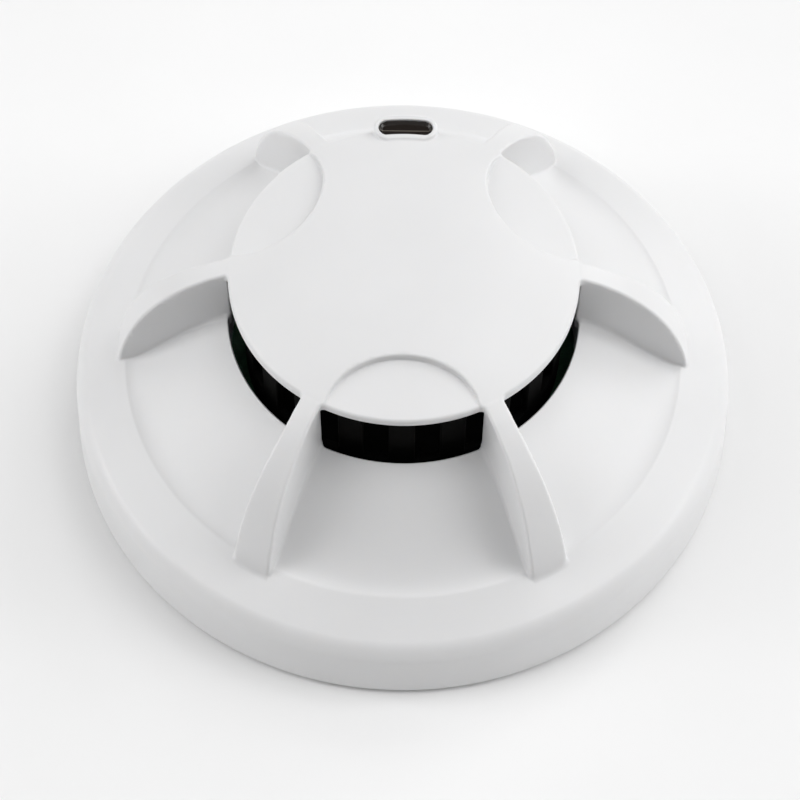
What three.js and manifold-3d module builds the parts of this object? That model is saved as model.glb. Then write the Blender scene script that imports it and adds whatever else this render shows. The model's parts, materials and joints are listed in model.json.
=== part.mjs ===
// A ceiling heat detector: a twist-on head on a mounting base.
// Millimetres. z = 0 is the ceiling side, and +Z points away from the ceiling, out of the sensing face.
// The head turns about Z: 0 degrees is locked, and 18 degrees anticlockwise, seen from +Z, sets it free.

import * as THREE from 'three';
import { mergeVertices } from 'three/addons/utils/BufferGeometryUtils.js';
import Module from 'manifold-3d';

const wasm = await Module();
wasm.setup();

// ---------------------------------------------------------------- driving dimensions

const GAP = 0.3;                     // running gap kept between touching pieces

// cover: skirt and shoulder
const SKIRT_RADIUS = 50;             // outer radius at the ceiling
const SKIRT_START = 0.4;             // the skirt stops this far short of the ceiling
const SHOULDER_RADIUS = 48.1;        // where the flat shoulder meets its rounded edge
const SHOULDER_HEIGHT = 11.1;
const SHOULDER_ROUND = 1.7;
const WALL = 1.8;                    // moulding thickness

// cover: the slope from the shoulder up to the lip of the opening
const SLOPE_FOOT = [41.3, 14.0];     // radius, height
const SLOPE_TOP = [26.2, 23.7];
const SLOPE_FOOT_PULL = [38.0, 14.2];
const SLOPE_TOP_PULL = [32.6, 20.5];
const THROAT_RADIUS = 25.5;          // inner radius of the lip and the neck below it
const NECK_WALL = 1.0;
const NECK_FOOT = 14.4;

// cover: the crown, which is the disc and the tops of the fins in one arched surface
const CROWN_HEIGHT = 37.2;
const CROWN_FLAT_RADIUS = 5;         // level inside this radius
const CROWN_END_RADIUS = 43.6;       // the arch comes down to its foot here
const CROWN_FOOT = 0.8;
const CROWN_POWER = 2.59;            // superellipse power of the arch
const DISC_RADIUS = 24.9;
const DISC_UNDERSIDE = 32.9;
const LAND_HEIGHT = 34.35;           // the three lowered D-shaped lands, at the rim of the disc
const LAND_TILT = 7.4;               // degrees that they rise towards the axis
const LAND_CENTRE = 24.4;            // centre of each land's elliptic edge, from the axis
const LAND_HALF_DEPTH = 8.7;
const LAND_HALF_WIDTH = 10.9;
const LAND_ANGLES = [30, 150, 270];

// cover: six fins
const FIN_OFFSET = 29.8;             // angle between a land's middle and the fins beside it
const FIN_START = 24.5;              // a fin's inner end, under the rim of the disc
const FIN_TIP_RADIUS = 42.9;
const FIN_TIP_DEPTH = 1.4;           // how far the rounded tip reaches past the straight flanks
const FIN_HALF_WIDTH_INNER = 1.45;
const FIN_HALF_WIDTH_OUTER = 3.05;
const FIN_SPREAD_POWER = 1.6;        // above 1, the fin widens faster towards its tip

// indicator window at the back edge of the disc
const WINDOW_CENTRE = 24.25;         // distance from the axis, along +Y
const WINDOW_TOP = 35.8;
const BEZEL_LENGTH = 9.4;
const BEZEL_DEPTH = 4.5;
const SLOT_LENGTH = 8.0;
const SLOT_DEPTH = 2.9;
const LENS_LENGTH = 7.3;
const LENS_DEPTH = 2.2;
const LENS_THICKNESS = 1.0;
const LENS_SINK = 0.6;
const PIPE_LENGTH = 6.3;
const PIPE_DEPTH = 1.6;
const PIPE_STAND_OFF = 0.4;          // between the light pipe and the guard inside it
const PIPE_FOOT = 1.9;               // the pipe's foot, above the parts side of the board
const LED_SIZE = [3, 1.6, 1.2];
const LED_OFFSET = 0.4;              // the lamp sits this far outside the window's middle

// chamber under the disc
const GUARD_RADIUS = 23.4;
const GUARD_WALL = 1.2;
const GUARD_FOOT = 16.2;
const GUARD_TOP = 32.5;
const GUARD_SLOTS = 20;
const GUARD_SLOT_WIDTH = 3.6;
const GUARD_SLOT_FOOT = 20.6;
const GUARD_SLOT_TOP = 31.2;
const CHAMBER_FLOOR_RADIUS = 23.4;
const CHAMBER_FLOOR_HEIGHT = [14.7, 15.9];
const FOOT_ANGLES = [60, 180, 300];  // the chamber floor's three feet on the board
const FOOT_CIRCLE = 18;
const FOOT_RADIUS = 1.6;
const GROMMET_HOLE_RADIUS = 3;
const GROMMET_FLANGE_RADIUS = 4;

// circuit board
const BOARD_RADIUS = 35;
const BOARD_HEIGHT = [10.7, 12.3];
const BOARD_TOP = BOARD_HEIGHT[1] + GAP;   // where the parts on the board start
const CAPACITOR_CIRCLE = 29;

// thermistor
const BEAD_HEIGHT = 26.2;
const BEAD_RADIUS = 1.5;
const BEAD_STRETCH = 1.35;           // the bead is this many times taller than wide
const LEAD_SPACING = 2.54;
const LEAD_RADIUS = 0.3;

// rear housing of the head
const HOUSING_RADIUS = 46.9;
const HOUSING_HEIGHT = [7.4, 8.8];
const POST_TOP = BOARD_HEIGHT[0] - GAP;
const POST_RADIUS = 3.9;
const LUG_RING = [38.6, 40.4];       // inner and outer radius
const LUG_REACH = 42.7;
const LUG_HEIGHT = [3.4, 4.6];
const LUG_START = -3;                // degrees from the middle of its catch, locked
const LUG_SPAN = 16;
const QUARTER_ANGLES = [0, 90, 180, 270];

// housing screws
const SCREW_CIRCLE = 31;
const SCREW_ANGLES = [30, 150, 270];
const SCREW_SHANK = 1.1;
const SCREW_HEAD = 2.4;
const SCREW_HEAD_HEIGHT = [7.6, 8.8];
const SCREW_TIP = 16.0;
const COVER_BOSS_RADIUS = 2.6;
const DRIVE_SLOT = [2.8, 0.6, 1];    // each arm of the cross recess in a screw head

// mounting base
const BASE_RADIUS = 46.2;
const BASE_FLOOR = 2.2;
const BASE_WALL_INNER = 44.2;
const BASE_WALL_TOP = 6.7;
const CATCH_RADIUS = 41.0;
const CATCH_HEIGHT = 5.0;
const CATCH_HALF_SPAN = 15;
const STOP_START = -13;              // end stop of a catch, degrees from the catch's middle
const STOP_SPAN = 9;
const CABLE_HOLE_RADIUS = 12;
const CABLE_COLLAR_WALL = 1.6;
const CABLE_COLLAR_TOP = 3.6;
const FIXING_CIRCLE = 30;
const FIXING_SLOT_WIDTH = 4.6;
const FIXING_HALF_SPAN = 11;
const RECESS_DEPTH = 0.8;            // shallow moulding recesses in the ceiling face
const RECESS_RINGS = [[15.5, 26.5], [36.5, 43.8]];
const RECESS_RIBS = 8;
const RIB_WIDTH = 1.6;

// base terminals and the head's contact blades
const TERMINAL_ANGLES = [45, 135, 225, 315];
const TERMINAL_WIDTH = 6;
const BOSS_TOP = 3.5;
const BOSS_LENGTH = 7.6;
const STRIP_BOTTOM = 3.8;
const STRIP_THICKNESS = 0.6;
const CLAMP_SIZE = 6.8;
const CLAMP_THICKNESS = 0.8;
const CLAMP_RADIUS = 34;
const TERMINAL_SCREW_SHANK = 1.45;
const TERMINAL_SCREW_HEAD = 2.9;
const SCREW_HOLE_FLOOR = 1.6;
const BLADE_RADII = [26, 30];
const BLADE_HEIGHT = [5.5, 6.1];
const BLADE_START = -9;
const BLADE_SPAN = 21;
const RIVET_RADIUS = 1.2;
const RIVET_HEAD_RADIUS = 2;

// ---------------------------------------------------------------- materials

function finish(color, roughness, metalness = 0) {
  return new THREE.MeshStandardMaterial({ color, roughness, metalness });
}

const whitePlastic = finish(0xeaeaec, 0.4);
const basePlastic = finish(0xe2e1dc, 0.5);
const blackPlastic = finish(0x12110d, 0.6);
const smokedLens = finish(0x2a2320, 0.15);
const clearPlastic = finish(0xdfe6e8, 0.1);
const boardGreen = finish(0x1f5b34, 0.5);
const chipBlack = finish(0x191a1c, 0.45);
const canBlue = finish(0x27334f, 0.4);
const ceramicTan = finish(0xb79b6a, 0.6);
const beadBrown = finish(0x3b2418, 0.3);
const brass = finish(0xc9a24b, 0.3, 1);
const steel = finish(0xb8bcc0, 0.3, 1);
const tinned = finish(0xcfd2d4, 0.35, 1);
const redLens = finish(0xb23a32, 0.2);

// ---------------------------------------------------------------- solids

const radians = THREE.MathUtils.degToRad;

function solid(geometry) {
  const bare = geometry.index ? geometry.toNonIndexed() : geometry.clone();
  bare.deleteAttribute('normal');
  bare.deleteAttribute('uv');
  const welded = mergeVertices(bare, 1e-4);
  return new wasm.Manifold(new wasm.Mesh({
    numProp: 3,
    vertProperties: new Float32Array(welded.attributes.position.array),
    triVerts: new Uint32Array(welded.index.array),
  }));
}

// A profile of [radius, height] points, anticlockwise, turned about Z.
function turned(points, segments = 54) {
  const profile = points.map(([radius, height]) => new THREE.Vector2(Math.max(radius, 0), height));
  const closes = points[0][0] > 0 || points[points.length - 1][0] > 0;
  if (closes) {
    profile.push(profile[0].clone());
  }
  return solid(new THREE.LatheGeometry(profile, segments).rotateX(Math.PI / 2));
}

function disc(radius, from, to, segments = 24) {
  return solid(new THREE.CylinderGeometry(radius, radius, to - from, segments)
    .rotateX(Math.PI / 2)
    .translate(0, 0, (from + to) / 2));
}

function rod(radius, from, to, x, y, segments = 12) {
  return disc(radius, from, to, segments).translate([x, y, 0]);
}

function ring(inner, outer, from, to, segments = 48) {
  return disc(outer, from, to, segments).subtract(disc(inner, from - 1, to + 1, segments));
}

function block(length, width, height) {
  return solid(new THREE.BoxGeometry(length, width, height));
}

function extruded(shape, from, to, curveSegments = 8) {
  return solid(new THREE.ExtrudeGeometry(shape, { depth: to - from, bevelEnabled: false, curveSegments })
    .translate(0, 0, from));
}

// A sector of a ring, from one angle to another in degrees.
function sector(inner, outer, startAngle, endAngle, from, to, segments = 5) {
  const shape = new THREE.Shape();
  shape.absarc(0, 0, outer, radians(startAngle), radians(endAngle), false);
  shape.absarc(0, 0, inner, radians(endAngle), radians(startAngle), true);
  shape.closePath();
  return extruded(shape, from, to, segments);
}

// A slot with round ends, its length along X.
function stadium(length, depth, from, to, segments = 6) {
  const reach = (length - depth) / 2;
  const shape = new THREE.Shape();
  shape.absarc(reach, 0, depth / 2, -Math.PI / 2, Math.PI / 2, false);
  shape.absarc(-reach, 0, depth / 2, Math.PI / 2, Math.PI * 1.5, false);
  shape.closePath();
  return extruded(shape, from, to, segments);
}

function union(solids) {
  return solids.reduce((whole, next) => whole.add(next));
}

function around(angle, radius) {
  return [radius * Math.cos(radians(angle)), radius * Math.sin(radians(angle))];
}

function piece(name, shape, material) {
  const source = shape.getMesh();
  const corners = new Float32Array(source.numVert * 3);
  for (let i = 0; i < source.numVert; i += 1) {
    corners.set(source.vertProperties.subarray(i * source.numProp, i * source.numProp + 3), i * 3);
  }
  const geometry = new THREE.BufferGeometry();
  geometry.setAttribute('position', new THREE.BufferAttribute(corners, 3));
  geometry.setIndex(Array.from(source.triVerts));
  geometry.computeVertexNormals();
  const mesh = new THREE.Mesh(geometry, material);
  mesh.name = name;
  return mesh;
}

// ---------------------------------------------------------------- outer cover

function arcPoints(centre, radius, startAngle, endAngle, steps) {
  return Array.from({ length: steps + 1 }, (_, i) => {
    const angle = radians(startAngle + (endAngle - startAngle) * i / steps);
    return [centre[0] + radius * Math.cos(angle), centre[1] + radius * Math.sin(angle)];
  });
}

// The slope in section, from its foot on the shoulder up to the lip, moved inwards by the wall thickness.
function slopePoints(inset, steps) {
  const curve = new THREE.CubicBezierCurve(
    new THREE.Vector2(...SLOPE_FOOT),
    new THREE.Vector2(...SLOPE_FOOT_PULL),
    new THREE.Vector2(...SLOPE_TOP_PULL),
    new THREE.Vector2(...SLOPE_TOP),
  );
  return Array.from({ length: steps + 1 }, (_, i) => {
    const point = curve.getPoint(i / steps);
    const along = curve.getTangent(i / steps);
    return [point.x - inset * along.y, point.y + inset * along.x];
  });
}

// The whole body under the cover's outer skin, without the disc and the fins.
function bodySolid() {
  const edge = [SHOULDER_RADIUS - SHOULDER_ROUND + 1.2, SHOULDER_HEIGHT - SHOULDER_ROUND];
  return turned([
    [0, SKIRT_START],
    [SKIRT_RADIUS, SKIRT_START],
    ...arcPoints(edge, SHOULDER_ROUND, 4, 86, 3),
    ...slopePoints(0, 7),
    [SLOPE_TOP[0] - 0.5, SLOPE_TOP[1] + 0.1],
    [0, SLOPE_TOP[1] + 0.1],
  ]);
}

// The hollow under the skin, open at the ceiling side.
function bodyHollow() {
  const shoulder = SHOULDER_HEIGHT - WALL;
  const inner = slopePoints(WALL, 4);
  return turned([
    [0, SKIRT_START - 1],
    [SKIRT_RADIUS - WALL, SKIRT_START - 1],
    [SKIRT_RADIUS - WALL - 0.6, shoulder - 0.8],
    [SKIRT_RADIUS - WALL - 1.6, shoulder],
    ...inner,
    [0, inner[inner.length - 1][1]],
  ]);
}

function crownHeight(radius) {
  const reach = Math.max(radius - CROWN_FLAT_RADIUS, 0) / (CROWN_END_RADIUS - CROWN_FLAT_RADIUS);
  const rise = (1 - reach ** CROWN_POWER) ** (1 / CROWN_POWER);
  return CROWN_FOOT + (CROWN_HEIGHT - CROWN_FOOT) * rise;
}

// Everything under the arched top surface that the disc and the fins share.
function crownSolid() {
  const steps = 11;
  const arch = Array.from({ length: steps + 1 }, (_, i) => {
    const radius = CROWN_FLAT_RADIUS
      + (CROWN_END_RADIUS - CROWN_FLAT_RADIUS) * Math.sin((Math.PI / 2) * i / steps);
    return [radius, crownHeight(radius)];
  });
  return turned([
    [0, CROWN_FOOT - 1],
    [CROWN_END_RADIUS, CROWN_FOOT - 1],
    ...arch.reverse(),
    [0, CROWN_HEIGHT],
  ]);
}

// A fin seen from above, widening from the disc to its round tip on the shoulder.
function finPrism(angle) {
  const steps = 4;
  const flankEnd = FIN_TIP_RADIUS - FIN_TIP_DEPTH;
  const flank = Array.from({ length: steps + 1 }, (_, i) => {
    const spread = (FIN_HALF_WIDTH_OUTER - FIN_HALF_WIDTH_INNER) * (i / steps) ** FIN_SPREAD_POWER;
    return [FIN_START + (flankEnd - FIN_START) * i / steps, FIN_HALF_WIDTH_INNER + spread];
  });
  const shape = new THREE.Shape();
  shape.moveTo(FIN_START, FIN_HALF_WIDTH_INNER);
  flank.forEach(([along, side]) => shape.lineTo(along, -side));
  shape.absellipse(flankEnd, 0, FIN_TIP_DEPTH, FIN_HALF_WIDTH_OUTER, -Math.PI / 2, Math.PI / 2, false);
  [...flank].reverse().forEach(([along, side]) => shape.lineTo(along, side));
  shape.closePath();
  return extruded(shape, NECK_FOOT, CROWN_HEIGHT + 1, 6).rotate([0, 0, angle]);
}

// What is taken off the crown to leave a land, which rises from the rim towards the axis like a cone.
function landCut(angle) {
  const shape = new THREE.Shape();
  shape.absellipse(LAND_CENTRE, 0, LAND_HALF_DEPTH, LAND_HALF_WIDTH, 0, Math.PI * 2, false);
  const rise = Math.tan(radians(LAND_TILT)) * DISC_RADIUS / 2;
  const cone = turned([
    [0, LAND_HEIGHT - rise],
    [DISC_RADIUS * 1.5, LAND_HEIGHT - rise],
    [DISC_RADIUS / 2, LAND_HEIGHT + rise],
    [0, LAND_HEIGHT + rise],
  ]);
  return extruded(shape, LAND_HEIGHT - rise, CROWN_HEIGHT + 1, 16)
    .rotate([0, 0, angle])
    .subtract(cone);
}

function coverBoss(angle) {
  const [x, y] = around(angle, SCREW_CIRCLE);
  return rod(COVER_BOSS_RADIUS, BOARD_TOP, SLOPE_TOP[1], x, y).intersect(bodySolid());
}

function outerCover() {
  const lands = union(LAND_ANGLES.map(landCut));
  const fins = union(LAND_ANGLES.flatMap(
    (angle) => [finPrism(angle - FIN_OFFSET), finPrism(angle + FIN_OFFSET)],
  ));
  const discPlate = disc(DISC_RADIUS, DISC_UNDERSIDE, CROWN_HEIGHT + 1, 54);
  const crown = crownSolid().intersect(discPlate.add(fins)).subtract(lands);
  const bezel = stadium(BEZEL_LENGTH, BEZEL_DEPTH, SLOPE_TOP[1] - 4, WINDOW_TOP)
    .translate([0, WINDOW_CENTRE, 0]);
  const neck = disc(THROAT_RADIUS + NECK_WALL, NECK_FOOT, SLOPE_TOP[1] - 0.5, 54);
  const throat = disc(THROAT_RADIUS, BOARD_TOP, DISC_UNDERSIDE, 54).subtract(fins);
  const slot = stadium(SLOT_LENGTH, SLOT_DEPTH, NECK_FOOT - 2, WINDOW_TOP + 1)
    .translate([0, WINDOW_CENTRE, 0]);
  const bosses = union(SCREW_ANGLES.map(coverBoss));
  const screwHoles = union(SCREW_ANGLES.map((angle) => {
    const [x, y] = around(angle, SCREW_CIRCLE);
    return rod(SCREW_SHANK + GAP, BOARD_HEIGHT[0], SCREW_TIP + GAP, x, y, 12);
  }));
  const shape = union([bodySolid(), crown, bezel])
    .subtract(bodyHollow())
    .add(neck)
    .add(bosses)
    .subtract(throat)
    .subtract(slot)
    .subtract(screwHoles);
  return piece('outer_cover', shape, whitePlastic);
}

// ---------------------------------------------------------------- indicator

function lightWindow() {
  const top = WINDOW_TOP - LENS_SINK;
  const shape = stadium(LENS_LENGTH, LENS_DEPTH, top - LENS_THICKNESS, top)
    .translate([0, WINDOW_CENTRE, 0]);
  return piece('light_window', shape, smokedLens);
}

function lightPipe() {
  const top = WINDOW_TOP - LENS_SINK - LENS_THICKNESS - GAP;
  const centre = GUARD_RADIUS + PIPE_STAND_OFF + PIPE_DEPTH / 2;
  const shape = stadium(PIPE_LENGTH, PIPE_DEPTH, BOARD_TOP + PIPE_FOOT, top, 4).translate([0, centre, 0]);
  return piece('light_pipe', shape, clearPlastic);
}

function indicatorLed() {
  const shape = block(...LED_SIZE).translate([0, WINDOW_CENTRE + LED_OFFSET, BOARD_TOP + LED_SIZE[2] / 2]);
  return piece('indicator_led', shape, redLens);
}

// ---------------------------------------------------------------- sensing chamber

function chamberGuard() {
  const inner = GUARD_RADIUS - GUARD_WALL;
  const wall = ring(inner, GUARD_RADIUS, GUARD_FOOT, GUARD_TOP);
  const slots = Array.from({ length: GUARD_SLOTS }, (_, i) => {
    const height = GUARD_SLOT_TOP - GUARD_SLOT_FOOT;
    return block(GUARD_WALL + 2, GUARD_SLOT_WIDTH, height)
      .translate([inner + GUARD_WALL / 2, 0, GUARD_SLOT_FOOT + height / 2])
      .rotate([0, 0, (i + 0.5) * 360 / GUARD_SLOTS]);
  });
  return piece('chamber_guard', wall.subtract(union(slots)), blackPlastic);
}

function chamberFloor() {
  const [bottom, top] = CHAMBER_FLOOR_HEIGHT;
  const plate = disc(CHAMBER_FLOOR_RADIUS, bottom, top, 48);
  const feet = FOOT_ANGLES.map((angle) => {
    const [x, y] = around(angle, FOOT_CIRCLE);
    return rod(FOOT_RADIUS, BOARD_TOP, bottom + 0.1, x, y);
  });
  const shape = union([plate, ...feet]).subtract(disc(GROMMET_HOLE_RADIUS, bottom - 1, top + 1));
  return piece('chamber_floor', shape, blackPlastic);
}

function thermistorGrommet() {
  const [bottom, top] = CHAMBER_FLOOR_HEIGHT;
  const shape = union([
    disc(GROMMET_HOLE_RADIUS - GAP, bottom - 0.6, top + 1.2),
    disc(GROMMET_FLANGE_RADIUS, top + GAP, top + 1.2),
  ]).subtract(stadium(LEAD_SPACING + 2.4, 2.4, bottom - 2, top + 3));
  return piece('thermistor_grommet', shape, blackPlastic);
}

function thermistorBead() {
  const shape = solid(new THREE.SphereGeometry(BEAD_RADIUS, 14, 10))
    .scale([1, 1, BEAD_STRETCH])
    .translate([0, 0, BEAD_HEIGHT]);
  return piece('thermistor_bead', shape, beadBrown);
}

// A straight lead from the board that leans in to the bead near its end.
function thermistorLead(number, side) {
  const foot = (LEAD_SPACING / 2) * side;
  const path = new THREE.CatmullRomCurve3([
    new THREE.Vector3(foot, 0, BOARD_TOP),
    new THREE.Vector3(foot, 0, BEAD_HEIGHT - 6),
    new THREE.Vector3(foot * 0.85, 0, BEAD_HEIGHT - 4),
    new THREE.Vector3(foot * 0.5, 0, BEAD_HEIGHT - BEAD_RADIUS * BEAD_STRETCH - GAP - 0.1),
  ]);
  const section = new THREE.Shape();
  section.absarc(0, 0, LEAD_RADIUS, 0, Math.PI * 2, false);
  const geometry = new THREE.ExtrudeGeometry(section,
    { steps: 10, curveSegments: 4, extrudePath: path, bevelEnabled: false });
  return piece(`thermistor_lead_${number}`, solid(geometry), tinned);
}

// ---------------------------------------------------------------- circuit board and its parts

function circuitBoard() {
  const [bottom, top] = BOARD_HEIGHT;
  const holes = SCREW_ANGLES.map((angle) => {
    const [x, y] = around(angle, SCREW_CIRCLE);
    return rod(SCREW_SHANK + 0.5, bottom - 1, top + 1, x, y);
  });
  const shape = disc(BOARD_RADIUS, bottom, top, 48).subtract(union(holes));
  return piece('circuit_board', shape, boardGreen);
}

function onBoard(name, shape, x, y, material, turn = 0) {
  return piece(name, shape.rotate([0, 0, turn]).translate([x, y, BOARD_TOP]), material);
}

function chip(name, length, width, height, x, y, material, turn) {
  return onBoard(name, block(length, width, height).translate([0, 0, height / 2]), x, y, material, turn);
}

function crystal() {
  return onBoard('crystal', stadium(8, 3.2, 0, 1.5, 6), 9, 5, steel, 10);
}

function filterCapacitor(number, angle) {
  const [x, y] = around(angle, CAPACITOR_CIRCLE);
  const can = turned([[0, 0], [2, 0], [2, 3.1], [1.7, 3.4], [0, 3.4]], 24);
  return onBoard(`filter_capacitor_${number}`, can, x, y, canBlue);
}

function resistor(number, x, y, turn) {
  return chip(`resistor_${number}`, 3.2, 1.6, 0.6, x, y, ceramicTan, turn);
}

// ---------------------------------------------------------------- rear housing

function rearHousing() {
  const [bottom, top] = HOUSING_HEIGHT;
  const posts = SCREW_ANGLES.map((angle) => {
    const [x, y] = around(angle, SCREW_CIRCLE);
    return rod(POST_RADIUS, bottom, POST_TOP, x, y, 16);
  });
  const sockets = SCREW_ANGLES.map((angle) => {
    const [x, y] = around(angle, SCREW_CIRCLE);
    return rod(SCREW_HEAD + 0.4, bottom - 1, SCREW_HEAD_HEIGHT[1] + GAP, x, y, 16)
      .add(rod(SCREW_SHANK + 0.5, bottom - 1, POST_TOP + 1, x, y));
  });
  const lugs = QUARTER_ANGLES.map((angle) => sector(LUG_RING[0] + 0.4, LUG_REACH,
    angle + LUG_START, angle + LUG_START + LUG_SPAN, LUG_HEIGHT[0], LUG_HEIGHT[1]));
  const rivetHoles = TERMINAL_ANGLES.map((angle) => {
    const [x, y] = around(angle, (BLADE_RADII[0] + BLADE_RADII[1]) / 2);
    return rod(RIVET_RADIUS + GAP, bottom - 3, top + 1, x, y);
  });
  const pads = TERMINAL_ANGLES.map((angle) => sector(BLADE_RADII[0] - 0.5, BLADE_RADII[1] + 0.5,
    angle + BLADE_START, angle + BLADE_START + BLADE_SPAN, BLADE_HEIGHT[1] + GAP, bottom + 0.1));
  const shape = union([
    disc(HOUSING_RADIUS, bottom, top, 48),
    ring(LUG_RING[0], LUG_RING[1], LUG_HEIGHT[0], bottom + 0.1),
    ...posts,
    ...lugs,
    ...pads,
  ]).subtract(union([...sockets, ...rivetHoles]));
  return piece('rear_housing', shape, basePlastic);
}

function housingScrew(number, angle) {
  const [x, y] = around(angle, SCREW_CIRCLE);
  const [bottom, top] = SCREW_HEAD_HEIGHT;
  const body = disc(SCREW_HEAD, bottom, top, 18).add(disc(SCREW_SHANK, top - 0.1, SCREW_TIP, 10));
  const arm = block(...DRIVE_SLOT);
  const drive = arm.add(arm.rotate([0, 0, 90])).translate([0, 0, bottom]);
  return piece(`housing_screw_${number}`, body.subtract(drive).translate([x, y, 0]), steel);
}

function contactBlade(number, angle) {
  const [x, y] = around(angle, (BLADE_RADII[0] + BLADE_RADII[1]) / 2);
  const shape = sector(BLADE_RADII[0], BLADE_RADII[1], angle + BLADE_START,
    angle + BLADE_START + BLADE_SPAN, BLADE_HEIGHT[0], BLADE_HEIGHT[1])
    .subtract(rod(RIVET_RADIUS + GAP, 0, 10, x, y));
  return piece(`contact_blade_${number}`, shape, tinned);
}

function contactRivet(number, angle) {
  const [x, y] = around(angle, (BLADE_RADII[0] + BLADE_RADII[1]) / 2);
  const shape = rod(RIVET_RADIUS, BLADE_HEIGHT[0], HOUSING_HEIGHT[1] + 0.6, x, y)
    .add(rod(RIVET_HEAD_RADIUS, HOUSING_HEIGHT[1] + GAP, HOUSING_HEIGHT[1] + 0.9, x, y));
  return piece(`contact_rivet_${number}`, shape, brass);
}

// ---------------------------------------------------------------- mounting base

function fixingSlot(angle) {
  const half = FIXING_SLOT_WIDTH / 2;
  const ends = [angle - FIXING_HALF_SPAN, angle + FIXING_HALF_SPAN].map((end) => {
    const [x, y] = around(end, FIXING_CIRCLE);
    return rod(half, -1, BASE_FLOOR + 1, x, y, 16);
  });
  const middle = sector(FIXING_CIRCLE - half, FIXING_CIRCLE + half, angle - FIXING_HALF_SPAN,
    angle + FIXING_HALF_SPAN, -1, BASE_FLOOR + 1);
  return union([middle, ...ends]);
}

function catchFor(angle) {
  const hook = sector(CATCH_RADIUS, BASE_WALL_INNER + 0.5, angle - CATCH_HALF_SPAN,
    angle + CATCH_HALF_SPAN, CATCH_HEIGHT, BASE_WALL_TOP);
  const stop = sector(CATCH_RADIUS, BASE_WALL_INNER + 0.5, angle + STOP_START,
    angle + STOP_START + STOP_SPAN, BASE_FLOOR - 0.1, CATCH_HEIGHT + 0.1);
  return hook.add(stop);
}

function terminalBoss(angle) {
  const height = BOSS_TOP - BASE_FLOOR + 0.1;
  return block(BOSS_LENGTH, TERMINAL_WIDTH + 2, height)
    .translate([CLAMP_RADIUS, 0, BASE_FLOOR - 0.1 + height / 2])
    .rotate([0, 0, angle]);
}

// The ceiling face is cored out in rings, with radial ribs left standing.
function recesses() {
  const ribs = Array.from({ length: RECESS_RIBS / 2 }, (_, i) => (
    block(2 * BASE_RADIUS, RIB_WIDTH, 2 * RECESS_DEPTH + 1).rotate([0, 0, (i + 0.5) * 360 / RECESS_RIBS])
  ));
  const rings = RECESS_RINGS.map(([inner, outer]) => ring(inner, outer, -1, RECESS_DEPTH));
  return union(rings).subtract(union(ribs));
}

function basePlate() {
  const screwHoles = TERMINAL_ANGLES.map((angle) => {
    const [x, y] = around(angle, CLAMP_RADIUS);
    return rod(TERMINAL_SCREW_SHANK + GAP, SCREW_HOLE_FLOOR, BOSS_TOP + 1, x, y);
  });
  const shape = union([
    disc(BASE_RADIUS, 0, BASE_FLOOR, 48),
    ring(BASE_WALL_INNER, BASE_RADIUS, BASE_FLOOR - 0.1, BASE_WALL_TOP),
    ring(CABLE_HOLE_RADIUS, CABLE_HOLE_RADIUS + CABLE_COLLAR_WALL, 0, CABLE_COLLAR_TOP, 32),
    ...QUARTER_ANGLES.map(catchFor),
    ...TERMINAL_ANGLES.map(terminalBoss),
  ]).subtract(union([
    disc(CABLE_HOLE_RADIUS, -1, BASE_FLOOR + 2, 32),
    ...[0, 180].map(fixingSlot),
    ...screwHoles,
    recesses(),
  ]));
  return piece('base_plate', shape, basePlastic);
}

// A spring strip: flat under the clamp, with a hump that the head's blade slides onto.
function terminal(number, angle) {
  const low = STRIP_BOTTOM;
  const hump = BLADE_HEIGHT[0] - GAP - STRIP_THICKNESS;
  const line = [[CLAMP_RADIUS + 3.4, low], [31, low], [29, hump], [27.4, hump], [25.2, low + 0.3]];
  const shape = new THREE.Shape();
  line.forEach(([radius, height], i) => (i ? shape.lineTo(radius, height) : shape.moveTo(radius, height)));
  [...line].reverse().forEach(([radius, height]) => shape.lineTo(radius, height + STRIP_THICKNESS));
  shape.closePath();
  const strip = solid(new THREE.ExtrudeGeometry(shape, { depth: TERMINAL_WIDTH, bevelEnabled: false })
    .rotateX(Math.PI / 2)
    .translate(0, TERMINAL_WIDTH / 2, 0));
  const hole = rod(TERMINAL_SCREW_SHANK + GAP, 0, 10, CLAMP_RADIUS, 0);
  return piece(`terminal_${number}`, strip.subtract(hole).rotate([0, 0, angle]), brass);
}

function clampPlate(number, angle) {
  const bottom = STRIP_BOTTOM + STRIP_THICKNESS + GAP;
  const plate = block(CLAMP_SIZE, CLAMP_SIZE, CLAMP_THICKNESS)
    .translate([CLAMP_RADIUS, 0, bottom + CLAMP_THICKNESS / 2]);
  const hole = rod(TERMINAL_SCREW_SHANK + GAP, 0, 10, CLAMP_RADIUS, 0);
  return piece(`clamp_plate_${number}`, plate.subtract(hole).rotate([0, 0, angle]), steel);
}

function terminalScrew(number, angle) {
  const [x, y] = around(angle, CLAMP_RADIUS);
  const underHead = STRIP_BOTTOM + STRIP_THICKNESS + CLAMP_THICKNESS + 2 * GAP;
  const top = underHead + 1.1;
  const body = disc(TERMINAL_SCREW_HEAD, underHead, top, 18)
    .add(disc(TERMINAL_SCREW_SHANK, SCREW_HOLE_FLOOR + GAP, underHead + 0.1, 10));
  const slot = block(2 * TERMINAL_SCREW_HEAD + 1, 0.8, 1).translate([0, 0, top]);
  return piece(`terminal_screw_${number}`, body.subtract(slot).translate([x, y, 0]), steel);
}

// ---------------------------------------------------------------- assembly

const base = new THREE.Group();
base.add(
  basePlate(),
  ...TERMINAL_ANGLES.map((angle, i) => terminal(i + 1, angle)),
  ...TERMINAL_ANGLES.map((angle, i) => clampPlate(i + 1, angle)),
  ...TERMINAL_ANGLES.map((angle, i) => terminalScrew(i + 1, angle)),
);

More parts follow.
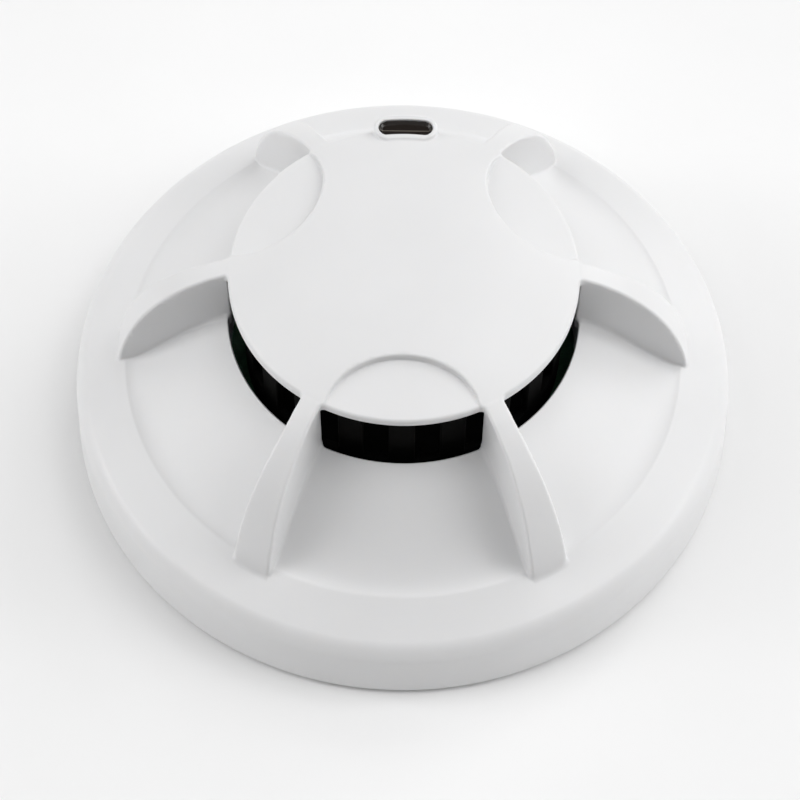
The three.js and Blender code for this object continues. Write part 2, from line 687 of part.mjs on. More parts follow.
const head = new THREE.Group();
head.add(
  outerCover(),
  lightWindow(),
  lightPipe(),
  indicatorLed(),
  chamberGuard(),
  chamberFloor(),
  thermistorGrommet(),
  thermistorBead(),
  thermistorLead(1, -1),
  thermistorLead(2, 1),
  circuitBoard(),
  chip('microcontroller', 7, 7, 1.4, 10, -4, chipBlack, 0),
  chip('bridge_rectifier', 5, 4, 1.6, -14, -24, chipBlack, 20),
  crystal(),
  filterCapacitor(1, 195),
  filterCapacitor(2, 345),
  resistor(1, 18, -12, 0),
  resistor(2, 18, -15.5, 0),
  resistor(3, -9, 8, 90),
  resistor(4, -12.5, 8, 90),
  rearHousing(),
  ...SCREW_ANGLES.map((angle, i) => housingScrew(i + 1, angle)),
  ...TERMINAL_ANGLES.map((angle, i) => contactBlade(i + 1, angle)),
  ...TERMINAL_ANGLES.map((angle, i) => contactRivet(i + 1, angle)),
);

const group = new THREE.Group();
group.add(base, head);

export default group;
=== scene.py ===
"""The looks of a ceiling heat detector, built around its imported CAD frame.

The moulded pieces are distance fields in millimetres, negative inside. A surface net turns each field
into quads, so that every edge of a moulding gets its real round. Meshes are in metres.
"""

import json
import math

import bpy
import numpy as np
from mathutils import Matrix, Vector


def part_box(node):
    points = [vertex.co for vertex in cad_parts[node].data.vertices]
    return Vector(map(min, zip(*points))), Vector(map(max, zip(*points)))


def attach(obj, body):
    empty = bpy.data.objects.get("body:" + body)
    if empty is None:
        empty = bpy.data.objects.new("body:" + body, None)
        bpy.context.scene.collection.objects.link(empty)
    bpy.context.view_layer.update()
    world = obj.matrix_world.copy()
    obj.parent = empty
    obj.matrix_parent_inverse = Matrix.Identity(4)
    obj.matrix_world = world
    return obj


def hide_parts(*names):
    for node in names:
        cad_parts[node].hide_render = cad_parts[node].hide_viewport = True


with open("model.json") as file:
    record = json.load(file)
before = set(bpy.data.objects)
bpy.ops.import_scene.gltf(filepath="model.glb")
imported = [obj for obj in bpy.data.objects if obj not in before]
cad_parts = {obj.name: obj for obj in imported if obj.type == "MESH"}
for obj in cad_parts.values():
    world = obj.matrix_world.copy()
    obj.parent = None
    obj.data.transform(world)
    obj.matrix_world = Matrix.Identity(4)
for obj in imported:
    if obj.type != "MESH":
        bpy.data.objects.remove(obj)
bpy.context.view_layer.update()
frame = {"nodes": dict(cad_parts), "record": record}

MM = 0.001


def box_mm(node):
    low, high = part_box(node)
    return np.array(low) / MM, np.array(high) / MM


# ---------------------------------------------------------------- sizes taken from the frame

cover_low, cover_high = box_mm("outer_cover")
guard_low, guard_high = box_mm("chamber_guard")
lens_low, lens_high = box_mm("light_window")
base_low, base_high = box_mm("base_plate")

SKIRT_RADIUS = cover_high[0]
SKIRT_START = cover_low[2]
CROWN_HEIGHT = cover_high[2]
WINDOW_CENTRE = (lens_low[1] + lens_high[1]) / 2 + 0.15
LENS_SIZE = (lens_high[0] - lens_low[0] + 0.5, lens_high[1] - lens_low[1] + 0.3)
LENS_LEVELS = (lens_low[2], lens_high[2])
GUARD_RADIUS = guard_high[0]
GUARD_LEVELS = (guard_low[2], guard_high[2])
BASE_RADIUS = base_high[0]
BASE_TOP = base_high[2]

# ---------------------------------------------------------------- the cover's own sizes

WALL = 1.8
SKIRT_DRAFT = 0.075                  # how far the skirt leans in for each millimetre of height
SHOULDER = (48.1, 11.1)              # radius, height
SHOULDER_ROUND = 1.9
SLOPE = ((41.3, 14.0), (38.0, 14.2), (32.6, 20.5), (26.2, 23.7))
THROAT_RADIUS = 25.5
LIP_ROUND = 0.25
NECK_RADIUS = 26.5
NECK_LEVELS = (14.4, 21.0)

CROWN_FLAT_RADIUS = 5.0
CROWN_END_RADIUS = 43.6
CROWN_FOOT = 0.8
CROWN_POWER = 2.59
CROWN_EDGE = 0.3                     # edge round of the raised crown
DISC_RADIUS = 24.9
DISC_UNDERSIDE = 32.9
DISC_EDGE = 0.4
LAND_HEIGHT = 34.35                  # at the disc's edge
LAND_TILT = math.radians(7.4)        # how steeply the lands rise towards the axis
LAND_CENTRE = 24.4
LAND_HALF_SIZES = (8.7, 10.9)        # from the axis outwards, and across
LAND_START = math.radians(30)
LAND_PITCH = math.radians(120)

FIN_OFFSET = math.radians(29.8)
FIN_START = 24.95                    # a fin's inner end, below the disc
FIN_TIP_RADIUS = 43.1
FIN_HALF_WIDTHS = (1.45, 3.1)        # at the start and at the tip
FIN_SPREAD_POWER = 1.5
FIN_TIP_ROUND = 1.3
FIN_EDGE = 0.45
FIN_FILLETS = (0.8, 0.4)             # at the lip and at the shoulder

BEZEL_TOP = 35.8
BEZEL_SIZE = (9.4, 4.5)
SLOT_SIZE = (8.0, 2.65)
PAINTED_HIGHLIGHT_STRIP = (0.4, 1.3)                   # the lens's painted highlight strip, from its front side
LENS_RIM = 0.45                      # height and width of the dished lens's sloping edge

# ---------------------------------------------------------------- sizes of the guard and the base

GUARD_WALL = 1.2
GUARD_SLOTS = 20
GUARD_SLOT_WIDTH = 3.6
GUARD_SLOT_LEVELS = (20.6, 31.2)

BASE_EDGE = 0.3                      # the round on the base's edges and in its corners
BASE_FLOOR = 2.2
BASE_WALL = 2.0
CABLE_HOLE_RADIUS = 12.0
CABLE_COLLAR = (1.6, 3.6)            # thickness, height
CATCH_RADIUS = 41.0
CATCH_UNDERSIDE = 5.0
CATCH_HALF_SPAN = math.radians(15)
STOP_MIDDLE = math.radians(-8.5)
STOP_HALF_SPAN = math.radians(4.5)
BOSS_RADIUS = 34.0
BOSS_HALF_SIZES = (3.8, 4.0)         # along the radius, and across
BOSS_TOP = 3.5
TERMINAL_HOLE = (1.75, 1.6)          # radius, and the level of its floor
FIXING_RADIUS = 30.0
FIXING_HALF_SPAN = math.radians(11)
FIXING_HALF_WIDTH = 2.3
RECESS_DEPTH = 0.8
RECESS_RINGS = ((15.5, 26.5), (36.5, 43.8))
RIB_HALF_WIDTH = 0.8
RIB_PITCH = math.radians(45)

# ---------------------------------------------------------------- distance fields


def round_min(a, b, radius):
    """The union of two solids, with a fillet."""
    corner = np.hypot(np.maximum(radius - a, 0), np.maximum(radius - b, 0))
    return np.maximum(radius, np.minimum(a, b)) - corner


def round_max(a, b, radius):
    """What two solids share, with a rounded edge."""
    corner = np.hypot(np.maximum(radius + a, 0), np.maximum(radius + b, 0))
    return np.minimum(-radius, np.maximum(a, b)) + corner


def between(value, levels):
    low, high = levels
    return np.abs(value - (low + high) / 2) - (high - low) / 2


def stadium(along, across, length, width):
    """A slot with round ends."""
    reach = (length - width) / 2
    return np.hypot(np.maximum(np.abs(along) - reach, 0), across) - width / 2


def folded(x, y, middle, pitch):
    """The angle from the nearest of the directions that start at middle and repeat at each pitch."""
    return np.mod(np.arctan2(y, x) - middle + pitch / 2, pitch) - pitch / 2


def slope_table():
    """The slope in section: radius, height and the cosine of its lean, from the throat outwards."""
    foot, foot_pull, top_pull, top = (np.array(point) for point in SLOPE)
    t = np.linspace(1, 0, 200)[:, None]
    curve = ((1 - t) ** 3 * foot + 3 * (1 - t) ** 2 * t * foot_pull
             + 3 * (1 - t) * t ** 2 * top_pull + t ** 3 * top)
    shelf = np.linspace(foot, SHOULDER, 40)[1:]
    beyond = shelf[-1] + 4 * (shelf[-1] - shelf[-20])
    inside = top + (top - curve[4]) * 8
    points = np.vstack([inside, curve, shelf, beyond])
    lean = np.gradient(points[:, 1], points[:, 0])
    return points[:, 0], points[:, 1], 1 / np.hypot(1, lean)


SLOPE_RADII, SLOPE_LEVELS, SLOPE_COSINES = slope_table()


def skin_field(radius, z):
    """The body's outer skin: the shoulder and the slope, over the leaning skirt."""
    level = np.interp(radius, SLOPE_RADII, SLOPE_LEVELS)
    cosine = np.interp(radius, SLOPE_RADII, SLOPE_COSINES)
    side = radius - SKIRT_RADIUS + SKIRT_DRAFT * (z - SKIRT_START)
    return round_max((z - level) * cosine, side, SHOULDER_ROUND)


def arch_field(radius, z):
    """The arched top that the disc and the fins share, a superellipse turned about the axis."""
    reach = CROWN_END_RADIUS - CROWN_FLAT_RADIUS
    rise = CROWN_HEIGHT - CROWN_FOOT
    out = np.maximum(radius - CROWN_FLAT_RADIUS, 0) / reach
    up = np.maximum(z - CROWN_FOOT, 0) / rise
    total = np.maximum(out ** CROWN_POWER + up ** CROWN_POWER, 1e-9)
    value = total ** (1 / CROWN_POWER)
    pull = np.hypot(out ** (CROWN_POWER - 1) / reach, up ** (CROWN_POWER - 1) / rise)
    return (value - 1) / np.maximum(pull * value / total, 1 / SKIRT_RADIUS)


def land_field(along, across):
    """The ellipse that bounds a lowered land."""
    half_depth, half_width = LAND_HALF_SIZES
    out = (along - LAND_CENTRE) / half_depth
    side = across / half_width
    value = np.hypot(out, side)
    pull = np.hypot(out / half_depth, side / half_width) / np.maximum(value, 1e-6)
    return (value - 1) / np.maximum(pull, 1 / SKIRT_RADIUS)


def fin_field(along, across, start):
    """A fin in plan, from an inner end at start, widening to its round tip."""
    out = along * math.cos(FIN_OFFSET) + across * math.sin(FIN_OFFSET)
    side = across * math.cos(FIN_OFFSET) - along * math.sin(FIN_OFFSET)
    inner, outer = FIN_HALF_WIDTHS
    share = np.clip((out - FIN_START) / (FIN_TIP_RADIUS - FIN_START), 0, 1)
    flank = np.abs(side) - inner - (outer - inner) * share ** FIN_SPREAD_POWER
    blade = round_max(flank, out - FIN_TIP_RADIUS, FIN_TIP_ROUND)
    return round_max(blade, start - out, 0.2)


def window_field(x, y, size):
    """A slot bent along the disc's edge, in plan."""
    return stadium(WINDOW_CENTRE * np.arctan2(x, y), np.hypot(x, y) - WINDOW_CENTRE, *size)


def crown_field(radius, along, across, z):
    """The disc with its three lands, and the fins that carry it.

    Roots join the fins to the disc above its underside; below it they stand clear of the guard.
    """
    arch = arch_field(radius, z)
    edge = np.interp(radius, (DISC_RADIUS, DISC_RADIUS + 4), (CROWN_EDGE, FIN_EDGE))
    lobes = round_max(radius - DISC_RADIUS, -land_field(along, across), 0.3)
    roots = fin_field(along, across, DISC_RADIUS - 1)
    raised = round_max(arch, round_min(lobes, roots, 0.7), edge)
    level = LAND_HEIGHT + math.tan(LAND_TILT) * (DISC_RADIUS - radius)
    level = np.minimum(level, CROWN_HEIGHT - 1)
    land = round_max((z - level) * math.cos(LAND_TILT), radius - DISC_RADIUS, DISC_EDGE)
    disc = round_max(round_min(raised, land, 0.15), DISC_UNDERSIDE - z, DISC_EDGE)
    legs = fin_field(along, across, FIN_START)
    return round_min(disc, round_max(arch, legs, edge), 0.15)


def bezel_field(x, y, radius, z):
    """The raised ring round the indicator, which stands on the slope behind the disc."""
    ring = round_max(window_field(x, y, BEZEL_SIZE), z - BEZEL_TOP, 0.35)
    return np.maximum(ring, np.minimum(THROAT_RADIUS - radius, DISC_UNDERSIDE - z))


def cover_field(x, y, z):
    radius = np.hypot(x, y)
    turn = folded(x, y, LAND_START, LAND_PITCH)
    along, across = radius * np.cos(turn), radius * np.abs(np.sin(turn))
    skin = skin_field(radius, z)
    body = round_max(skin, THROAT_RADIUS - radius, LIP_ROUND)
    crown = round_min(crown_field(radius, along, across, z), bezel_field(x, y, radius, z), 0.3)
    fillet = np.interp(radius, (DISC_RADIUS + 2, DISC_RADIUS + 8), FIN_FILLETS)
    outside = round_min(body, crown, fillet)
    shell = np.maximum(np.maximum(outside, -skin - WALL), SKIRT_START - z)
    neck = np.maximum(between(radius, (THROAT_RADIUS, NECK_RADIUS)), between(z, NECK_LEVELS))
    return round_max(np.minimum(shell, neck), -window_field(x, y, SLOT_SIZE), 0.15)


def lens_field(x, y, z):
    """The lens fills its slot; its top is dished, so that its edge stands higher than its middle."""
    side = window_field(x, y, LENS_SIZE)
    low, high = LENS_LEVELS
    top = z - high - LENS_RIM * np.clip(1 + side / LENS_RIM, 0, 1)
    return round_max(side, np.maximum(top * 0.7, low - z), 0.08)


def guard_field(x, y, z):
    radius = np.hypot(x, y)
    wall = round_max(between(radius, (GUARD_RADIUS - GUARD_WALL, GUARD_RADIUS)),
                     between(z, GUARD_LEVELS), 0.2)
    pitch = math.tau / GUARD_SLOTS
    side = np.abs(radius * folded(x, y, pitch / 2, pitch)) - GUARD_SLOT_WIDTH / 2
    return round_max(wall, -round_max(side, between(z, GUARD_SLOT_LEVELS), 0.6), 0.2)


def base_field(x, y, z):
    radius = np.hypot(x, y)
    quarter = math.pi / 2
    plate = round_max(radius - BASE_RADIUS, between(z, (0, BASE_FLOOR)), BASE_EDGE)
    wall = between(radius, (BASE_RADIUS - BASE_WALL, BASE_RADIUS))
    rim = round_max(wall, between(z, (0, BASE_TOP)), BASE_EDGE)
    thickness, height = CABLE_COLLAR
    collar = round_max(radius - CABLE_HOLE_RADIUS - thickness, between(z, (0, height)), BASE_EDGE)

    turn = folded(x, y, 0, quarter)
    ledge = between(radius, (CATCH_RADIUS, BASE_RADIUS - BASE_WALL / 2))
    hook = np.maximum(radius * (np.abs(turn) - CATCH_HALF_SPAN), between(z, (CATCH_UNDERSIDE, BASE_TOP)))
    stop_side = radius * (np.abs(turn - STOP_MIDDLE) - STOP_HALF_SPAN)
    stop = np.maximum(stop_side, between(z, (1, CATCH_UNDERSIDE)))
    catch = round_max(ledge, np.minimum(hook, stop), 0.25)

    turn = folded(x, y, quarter / 2, quarter)
    out, side = radius * np.cos(turn) - BOSS_RADIUS, radius * np.sin(turn)
    half_length, half_width = BOSS_HALF_SIZES
    block = round_max(np.abs(out) - half_length, np.abs(side) - half_width, 0.5)
    boss = round_max(block, between(z, (0, BOSS_TOP)), BASE_EDGE)
    hole_radius, hole_floor = TERMINAL_HOLE
    hole = np.maximum(np.hypot(out, side) - hole_radius, hole_floor - z)

    turn = folded(x, y, 0, math.pi)
    slot = stadium(FIXING_RADIUS * turn, radius - FIXING_RADIUS,
                   2 * (FIXING_RADIUS * FIXING_HALF_SPAN + FIXING_HALF_WIDTH), 2 * FIXING_HALF_WIDTH)

    rib = np.abs(radius * np.sin(folded(x, y, RIB_PITCH / 2, RIB_PITCH))) - RIB_HALF_WIDTH
    rings = np.minimum(*(between(radius, ring) for ring in RECESS_RINGS))
    recess = np.maximum(round_max(rings, -rib, BASE_EDGE), z - RECESS_DEPTH)

    raised = np.minimum(np.minimum(rim, collar), np.minimum(catch, boss))
    solid = round_min(plate, raised, BASE_EDGE)
    holes = np.minimum(np.minimum(radius - CABLE_HOLE_RADIUS, slot), hole)
    return round_max(round_max(solid, -holes, BASE_EDGE), -recess, 0.2)


# ---------------------------------------------------------------- surface nets


def lines(*stretches):
    """Grid lines through (start, end, step) stretches that meet end to end."""
    parts = [np.linspace(start, end, max(1, round((end - start) / step)), endpoint=False)
             for start, end, step in stretches]
    return np.append(np.concatenate(parts), stretches[-1][1])


def steepest(field, points, reach=0.03):
    """The field and its gradient at each point."""
    x, y, z = points.T
    slope = np.stack([
        field(x + reach, y, z) - field(x - reach, y, z),
        field(x, y + reach, z) - field(x, y - reach, z),
        field(x, y, z + reach) - field(x, y, z - reach),
    ], axis=1) / (2 * reach)
    return field(x, y, z), slope


def settled(field, points, rounds=5, longest=0.2):
    """Moves each point down the gradient on to the surface, and gives the surface's normals there."""
    for _ in range(rounds):
        value, slope = steepest(field, points)
        steep = np.maximum(np.linalg.norm(slope, axis=1), 0.2)
        step = np.clip(value / steep, -longest, longest)
        points = points - slope * (step / steep)[:, None]
    slope = steepest(field, points)[1]
    return points, slope / np.maximum(np.linalg.norm(slope, axis=1), 1e-6)[:, None]


def surface_net(field, radii, turns, levels):
    """One vertex in each grid cell that the surface crosses, and one quad for each crossed grid edge.

    The grid is made of cylinders, half-planes through the axis (turns, in degrees, going once round)
    and level planes.
    """
    angles = np.radians(turns)
    shape = (len(radii), len(turns), len(levels))
    corner = np.stack(np.broadcast_arrays(
        radii[:, None, None] * np.cos(angles)[None, :, None],
        radii[:, None, None] * np.sin(angles)[None, :, None],
        levels[None, None, :],
    ), axis=-1)
    value = field(corner[..., 0], corner[..., 1], corner[..., 2])
    cells = (shape[0] - 1, shape[1], shape[2] - 1)
    total = np.zeros((np.prod(cells), 3))
    count = np.zeros(np.prod(cells))
    quads = []
    for axis in range(3):
        ahead = np.roll(value, -1, axis)
        crossed = (value < 0) != (ahead < 0)
        if axis != 1:
            last = [slice(None)] * 3
            last[axis] = -1
            crossed[tuple(last)] = False
        edge = np.argwhere(crossed)
        here, there = value[crossed], ahead[crossed]
        share = (here / (here - there))[:, None]
        place = corner[crossed] * (1 - share) + np.roll(corner, -1, axis)[crossed] * share
        first, second = (axis + 1) % 3, (axis + 2) % 3
        around, whole = [], np.ones(len(edge), bool)
        for back in ((1, 1), (0, 1), (0, 0), (1, 0)):
            cell = edge.copy()
            cell[:, first] -= back[0]
            cell[:, second] -= back[1]
            cell[:, 1] %= shape[1]
            held = ((cell >= 0) & (cell < cells)).all(axis=1)
            index = np.ravel_multi_index(np.where(held[:, None], cell, 0).T, cells)
            count += np.bincount(index[held], minlength=len(count))
            for k in range(3):
                total[:, k] += np.bincount(index[held], place[held, k], len(count))
            around.append(index)
            whole &= held
        face = np.stack(around, axis=1)
        face[here > 0] = face[here > 0, ::-1]
        quads.append(face[whole])
        if axis == 2:
            hub = edge[(edge[:, 0] == 0) & (edge[:, 1] == 0), 2]
    rings = []
    for level in hub:
        ring = [np.ravel_multi_index((0, turn, level), cells) for turn in range(shape[1])]
        rings.append(ring if value[0, 0, level] < 0 else ring[::-1])
    used = np.flatnonzero(count)
    number = np.full(len(count), -1)
    number[used] = np.arange(len(used))
    faces = number[np.concatenate(quads)].tolist() + [number[ring].tolist() for ring in rings]
    points, normals = settled(field, total[used] / count[used, None])
    return points, normals, faces


def moulding(name, body, material, replaced, net):
    """A new piece from a surface net, shaded by the surface's own normals."""
    points, normals, faces = net
    mesh = bpy.data.meshes.new(name)
    mesh.from_pydata((points * MM).tolist(), [], faces)
    mesh.shade_smooth()
    mesh.normals_split_custom_set_from_vertices(normals.tolist())
    mesh.materials.append(material)
    piece = bpy.data.objects.new(name, mesh)
    bpy.context.collection.objects.link(piece)
    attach(piece, body)
    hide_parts(replaced)


# ---------------------------------------------------------------- materials


def shader_for(name, roughness, metallic=0.0):
    material = bpy.data.materials.new(name)
    material.use_nodes = True
    shader = material.node_tree.nodes["Principled BSDF"]
    shader.inputs["Roughness"].default_value = roughness
    shader.inputs["Metallic"].default_value = metallic
    return material, shader


def add_node(material, kind, **values):
    node = material.node_tree.nodes.new(kind)
    for key, value in values.items():
        node.inputs[key].default_value = value
    return node


def link(material, source, target):
    material.node_tree.links.new(source, target)


def noise(material, size, detail=2.0, stretch=(1, 1, 1)):
    """Noise whose grains are about size millimetres across, smaller where stretch is large."""
    place = add_node(material, "ShaderNodeTexCoord")
    scaled = add_node(material, "ShaderNodeMapping", Scale=stretch)
    texture = add_node(material, "ShaderNodeTexNoise", Scale=1 / (size * MM), Detail=detail)
    link(material, place.outputs["Object"], scaled.inputs["Vector"])
    link(material, scaled.outputs["Vector"], texture.inputs["Vector"])
    return texture.outputs["Fac"]


def spread(material, factor, low, high):
    """Maps a noise's usual range on to low..high."""
    node = add_node(material, "ShaderNodeMapRange")
    node.inputs["From Min"].default_value = 0.3
    node.inputs["From Max"].default_value = 0.7
    node.inputs["To Min"].default_value = low
    node.inputs["To Max"].default_value = high
    link(material, factor, node.inputs["Value"])
    return node.outputs["Result"]


def tint(material, shader, factor, dark, light):
    """Base colour between two shades."""
    ramp = add_node(material, "ShaderNodeValToRGB")
    ramp.color_ramp.elements[0].position = 0.35
    ramp.color_ramp.elements[1].position = 0.65
    ramp.color_ramp.elements[0].color = (*dark, 1)
    ramp.color_ramp.elements[1].color = (*light, 1)
    link(material, factor, ramp.inputs["Fac"])
    link(material, ramp.outputs["Color"], shader.inputs["Base Color"])


def relief(material, shader, factor, depth):
    """Bump as deep as depth in millimetres."""
    bump = add_node(material, "ShaderNodeBump", Distance=depth * MM, Strength=1.0)
    link(material, factor, bump.inputs["Height"])
    link(material, bump.outputs["Normal"], shader.inputs["Normal"])


def shades(colour, difference):
    dark = tuple(channel * (1 - difference) for channel in colour)
    light = tuple(min(channel * (1 + difference), 1) for channel in colour)
    return dark, light


def plastic(name, colour, roughness, grain=0.35, depth=0.006, mottle=0.02, glow=0.0, shine=0.5):
    """A moulded plastic: faint cloudy tint, uneven gloss and a fine spark-eroded grain."""
    material, shader = shader_for(name, roughness)
    shader.inputs["Specular IOR Level"].default_value = shine
    tint(material, shader, noise(material, 14, 3), *shades(colour, mottle))
    gloss = spread(material, noise(material, 3.5, 4), roughness - 0.04, roughness + 0.04)
    link(material, gloss, shader.inputs["Roughness"])
    relief(material, shader, noise(material, grain, 3), depth)
    if glow:
        shader.inputs["Subsurface Weight"].default_value = glow
        shader.inputs["Subsurface Radius"].default_value = (1, 0.9, 0.8)
        shader.inputs["Subsurface Scale"].default_value = 1.2 * MM
    return material


def metal(name, colour, roughness, stretch):
    """Plated or rolled metal with fine lines along one direction."""
    material, shader = shader_for(name, roughness, 1.0)
    tint(material, shader, noise(material, 2.2, 4), *shades(colour, 0.08))
    streaks = noise(material, 1.2, 4, stretch)
    gloss = spread(material, streaks, roughness - 0.08, roughness + 0.12)
    link(material, gloss, shader.inputs["Roughness"])
    relief(material, shader, streaks, 0.002)
    return material


def lens_plastic(name, colour, roughness, weight):
    """A clear or smoked plastic that light passes through."""
    material, shader = shader_for(name, roughness)
    tint(material, shader, noise(material, 6, 2), *shades(colour, 0.05))
    shader.inputs["Transmission Weight"].default_value = weight
    shader.inputs["IOR"].default_value = 1.5
    relief(material, shader, noise(material, 1.4, 2), 0.002)
    return material


def painted_highlight_strip(material, dark, pale):
    """A painted highlight: a pale strip along the lens's front side, across an otherwise dark lens, in
    place of the light that the lens's front edge catches.
    """
    shader = material.node_tree.nodes["Principled BSDF"]
    place = add_node(material, "ShaderNodeTexCoord")
    split = add_node(material, "ShaderNodeSeparateXYZ")
    link(material, place.outputs["Object"], split.inputs["Vector"])
    share = add_node(material, "ShaderNodeMapRange")
    front = WINDOW_CENTRE - LENS_SIZE[1] / 2
    share.inputs["From Min"].default_value = (front + PAINTED_HIGHLIGHT_STRIP[0]) * MM
    share.inputs["From Max"].default_value = (front + PAINTED_HIGHLIGHT_STRIP[1]) * MM
    link(material, split.outputs["Y"], share.inputs["Value"])
    tint(material, shader, share.outputs["Result"], dark, dark)
    ramp = shader.inputs["Base Color"].links[0].from_node.color_ramp
    ramp.elements.new(0.5).color = (*pale, 1)


def laminate(name):
    """Green solder mask over glass cloth, with the copper tracks' relief under it."""
    material, shader = shader_for(name, 0.38)
    weave = noise(material, 0.5, 2, (1, 4, 1))
    tint(material, shader, weave, (0.012, 0.085, 0.032), (0.02, 0.13, 0.05))
    place = add_node(material, "ShaderNodeTexCoord")
    tracks = add_node(material, "ShaderNodeTexBrick", Scale=1 / (6 * MM))
    tracks.inputs["Mortar Size"].default_value = 0.06
    link(material, place.outputs["Object"], tracks.inputs["Vector"])
    relief(material, shader, tracks.outputs["Fac"], 0.035)
    return material


def chip(name):
    """Matt moulding compound with a laser-dulled face."""
    material, shader = shader_for(name, 0.5)
    tint(material, shader, noise(material, 0.8, 4), (0.010, 0.010, 0.011), (0.022, 0.022, 0.024))
    relief(material, shader, noise(material, 0.12, 2), 0.008)
    return material


def ceramic(name):
    """A chip resistor's body: glaze over tan ceramic."""
    material, shader = shader_for(name, 0.3)
    tint(material, shader, noise(material, 0.5, 4), (0.30, 0.22, 0.12), (0.44, 0.34, 0.20))
    relief(material, shader, noise(material, 0.3, 3), 0.01)
    return material


def sleeve(name):
    """A capacitor's shrunk sleeve, glossy with faint upright creases."""
    material, shader = shader_for(name, 0.25)
    creases = noise(material, 1.0, 3, (3, 3, 0.5))
    tint(material, shader, creases, (0.018, 0.030, 0.075), (0.030, 0.045, 0.105))
    relief(material, shader, creases, 0.02)
    shader.inputs["Coat Weight"].default_value = 0.4
    return material


WHITE = (0.80, 0.80, 0.805)

cover_white = plastic("cover_white_abs", WHITE, 0.36, depth=0.004, mottle=0.008, glow=0.12)
base_white = plastic("base_white_abs", (0.74, 0.735, 0.71), 0.48, grain=0.5, depth=0.012)
guard_black = plastic("guard_black_abs", (0.002, 0.002, 0.0018), 0.9, depth=0.01, mottle=0.2, shine=0.1)
smoked = lens_plastic("smoked_lens_painted_highlight", (0.03, 0.022, 0.018), 0.12, 0.3)
# the pale strip along the smoked lens's front side is a painted highlight
painted_highlight_strip(smoked, (0.025, 0.02, 0.017), (0.2, 0.18, 0.155))
clear = lens_plastic("clear_acrylic", (0.93, 0.95, 0.95), 0.06, 0.95)
led_red = lens_plastic("led_epoxy", (0.75, 0.05, 0.03), 0.12, 0.5)
rubber = plastic("grommet_rubber", (0.015, 0.015, 0.016), 0.7, grain=0.2, depth=0.01, mottle=0.15)
epoxy = plastic("bead_epoxy", (0.06, 0.025, 0.012), 0.22, grain=0.9, depth=0.03, mottle=0.2)

FINISHES = {
    "cover_plastic": cover_white,
    "base_plastic": base_white,
    "black_plastic": guard_black,
    "smoked_window": smoked,
    "clear_plastic": clear,
    "led_plastic": led_red,
    "black_rubber": rubber,
    "bead_epoxy": epoxy,
    "tinned_wire": metal("tinned_copper", (0.72, 0.72, 0.70), 0.34, (2, 2, 12)),
    "board_laminate": laminate("board_laminate"),
    "chip_plastic": chip("chip_compound"),
    "chip_ceramic": ceramic("resistor_ceramic"),
    "capacitor_can": sleeve("capacitor_sleeve"),
    "plated_steel": metal("zinc_plated_steel", (0.62, 0.64, 0.66), 0.30, (9, 1, 1)),
    "brass_metal": metal("rolled_brass", (0.80, 0.56, 0.22), 0.28, (1, 9, 1)),
}

# ---------------------------------------------------------------- pieces


def cover_net():
    """The cover's net, finest at the fins, the window, the lip, the shoulder and the disc's edge."""
    near_fin = 5.2                       # degrees each side of a fin
    fins = sorted(math.degrees(LAND_START + lobe * LAND_PITCH + side * FIN_OFFSET) % 360
                  for lobe in range(3) for side in (-1, 1))
    stretches = []
    for fin, following in zip(fins, fins[1:] + [fins[0] + 360]):
        stretches.append((fin - near_fin, fin + near_fin, 0.43))
        if fin < 90 < following:
            window = (77, 103)
            stretches.append((fin + near_fin, window[0], 1.5))
            stretches.append((*window, 0.6))
            stretches.append((window[1], following - near_fin, 1.5))
        else:
            stretches.append((fin + near_fin, following - near_fin, 1.5))
    radii = lines((0.6, 15.4, 1.9), (15.4, 24.2, 0.42), (24.2, 27, 0.3), (27, 40, 0.85),
                  (40, 46, 0.5), (46, 50.3, 0.33))
    levels = lines((0, 8.4, 1.6), (8.4, 13, 0.33), (13, 22.2, 0.75), (22.2, 24.4, 0.24),
                   (24.4, 32.4, 0.9), (32.4, 37.5, 0.22))
    return surface_net(cover_field, radii, lines(*stretches)[:-1], levels)


def lens_net():
    turns = lines((78, 102, 0.4), (102, 438, 24))[:-1]
    low, high = LENS_LEVELS
    return surface_net(lens_field, lines((22.5, 26, 0.18)), turns, lines((low - 0.3, high + 0.8, 0.13)))


def guard_net():
    low, high = GUARD_LEVELS
    return surface_net(guard_field, lines((GUARD_RADIUS - 1.6, GUARD_RADIUS + 0.4, 0.2)),
                       lines((0, 360, 0.9))[:-1], lines((low - 0.35, high + 0.35, 0.4)))


def base_net():
    return surface_net(base_field, lines((CABLE_HOLE_RADIUS - 0.5, BASE_RADIUS + 0.5, 0.5)),
                       lines((0, 360, 1.2))[:-1], lines((-0.35, BASE_TOP + 0.35, 0.35)))


moulding("cover_moulding", "head", cover_white, "outer_cover", cover_net())
moulding("indicator_lens", "head", smoked, "light_window", lens_net())
moulding("guard_cage", "head", guard_black, "chamber_guard", guard_net())
moulding("base_moulding", "base", base_white, "base_plate", base_net())

for part in frame["record"]["subparts"]:
    node = frame["nodes"][part["node"]]
    node.data.materials.clear()
    node.data.materials.append(FINISHES[part["material_slot"]])

# ---------------------------------------------------------------- floor, light and camera


def add_floor():
    """A pale floor that the detector lies on, ceiling side down."""
    half, level = 3.0, base_low[2] * MM - 0.0002
    corners = [(-half, -half, level), (half, -half, level), (half, half, level), (-half, half, level)]
    mesh = bpy.data.meshes.new("floor")
    mesh.from_pydata(corners, [], [(0, 1, 2, 3)])
    material, shader = shader_for("floor_paper", 0.9)
    tint(material, shader, noise(material, 60, 2), (0.90, 0.90, 0.90), (0.92, 0.92, 0.92))
    mesh.materials.append(material)
    floor = bpy.data.objects.new("floor", mesh)
    bpy.context.collection.objects.link(floor)


LIGHT_DISTANCE = 2.7
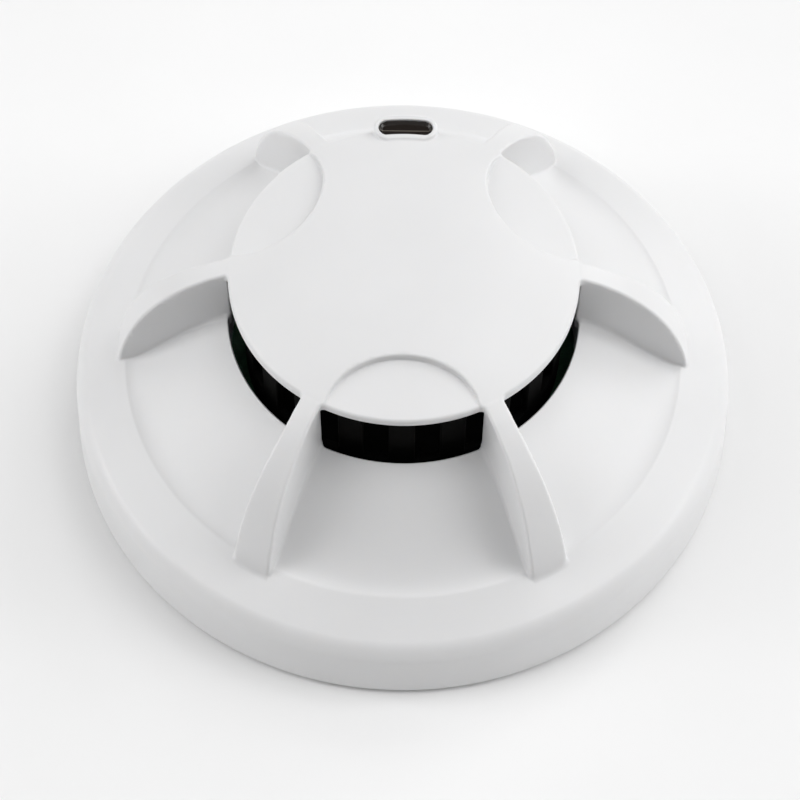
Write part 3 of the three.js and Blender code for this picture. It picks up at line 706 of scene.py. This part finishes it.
# Each light's azimuth and elevation in degrees, size in metres and power in watts.
LIGHTS = (
    (0, 25, 1.5, 22.9),
    (45, 25, 1.5, 16.7),
    (135, 25, 1.5, 8.5),
    (180, 25, 1.5, 22.2),
    (225, 25, 1.5, 2.9),
    (315, 25, 1.5, 1.6),
    (0, 50, 1.5, 14.4),
    (45, 50, 1.5, 6.3),
    (180, 50, 1.5, 13.5),
    (270, 50, 1.5, 2.2),
    (0, 72, 1.5, 8.5),
    (180, 72, 1.5, 7.4),
    (70, 45, 0.45, 2.3),
    (50, 67, 0.45, 2.7),
)


def add_light(name, azimuth, elevation, distance, size, power):
    """A soft square light, placed by its direction in degrees and aimed at the detector."""
    lamp = bpy.data.lights.new(name, "AREA")
    lamp.size = size
    lamp.energy = power
    light = bpy.data.objects.new(name, lamp)
    across, up = math.radians(azimuth), math.radians(elevation)
    light.location = (distance * math.cos(up) * math.cos(across),
                      distance * math.cos(up) * math.sin(across),
                      distance * math.sin(up))
    light.rotation_euler = (-light.location).to_track_quat("-Z", "Y").to_euler()
    bpy.context.collection.objects.link(light)


def add_world(strength):
    world = bpy.data.worlds.new("studio")
    world.use_nodes = True
    background = world.node_tree.nodes["Background"]
    background.inputs["Color"].default_value = (1, 1, 1, 1)
    background.inputs["Strength"].default_value = strength
    bpy.context.scene.world = world


def add_camera():
    """The photograph's view, looking down on the detector from in front."""
    place = Vector((0, -173.16, 288.68)) * MM
    aim = Vector((-0.36, -1.01, 0)) * MM
    lens = bpy.data.cameras.new("camera")
    lens.lens = 97.66
    lens.sensor_width = 36
    camera = bpy.data.objects.new("camera", lens)
    camera.matrix_world = (Matrix.Translation(place)
                           @ (aim - place).to_track_quat("-Z", "Y").to_matrix().to_4x4()
                           @ Matrix.Rotation(math.radians(0.61), 4, "Z"))
    bpy.context.collection.objects.link(camera)
    bpy.context.scene.camera = camera


add_floor()
add_world(0.03)
for azimuth, elevation, size, power in LIGHTS:
    add_light(f"light_{azimuth}_{elevation}", azimuth, elevation, LIGHT_DISTANCE, size, power)
add_camera()
bpy.context.scene.view_settings.view_transform = "Standard"
